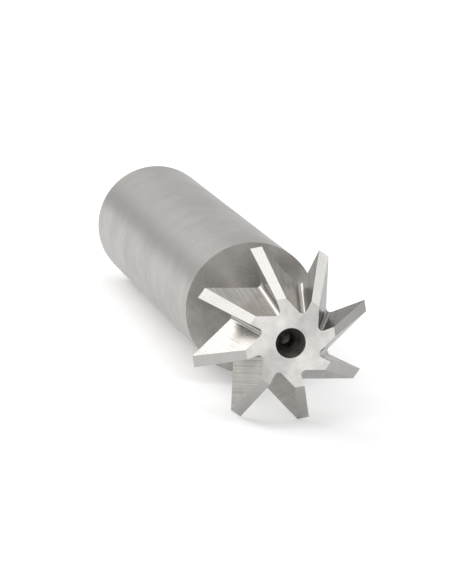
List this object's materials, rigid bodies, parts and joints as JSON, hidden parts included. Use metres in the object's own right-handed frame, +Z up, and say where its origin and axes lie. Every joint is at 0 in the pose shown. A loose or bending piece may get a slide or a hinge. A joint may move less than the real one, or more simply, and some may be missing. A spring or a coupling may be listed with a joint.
{
  "type": "angle milling cutter",
  "caption": "One-piece angle milling cutter with its small end at the front: a conical head of straight ground teeth, a thin neck and a plain cylindrical shank.",
  "frame": {"origin": "on the cutter's axis at the shoulder where the shank begins", "axes": "+Y along the axis from the head to the shank's plain end, so the front face looks along -Y; +Z up, with one tooth's tip and the next tooth's heel level at the bottom, as the cutter lies on a bench"},
  "size_m": [0.015, 0.06, 0.015],
  "materials": {
    "tool_steel": "ground high speed steel: bright lands, satin shank, fine turning marks on the shank's face"
  },
  "bodies": {
    "root": {"cutter": "tool_steel"}
  },
  "joints": []
}
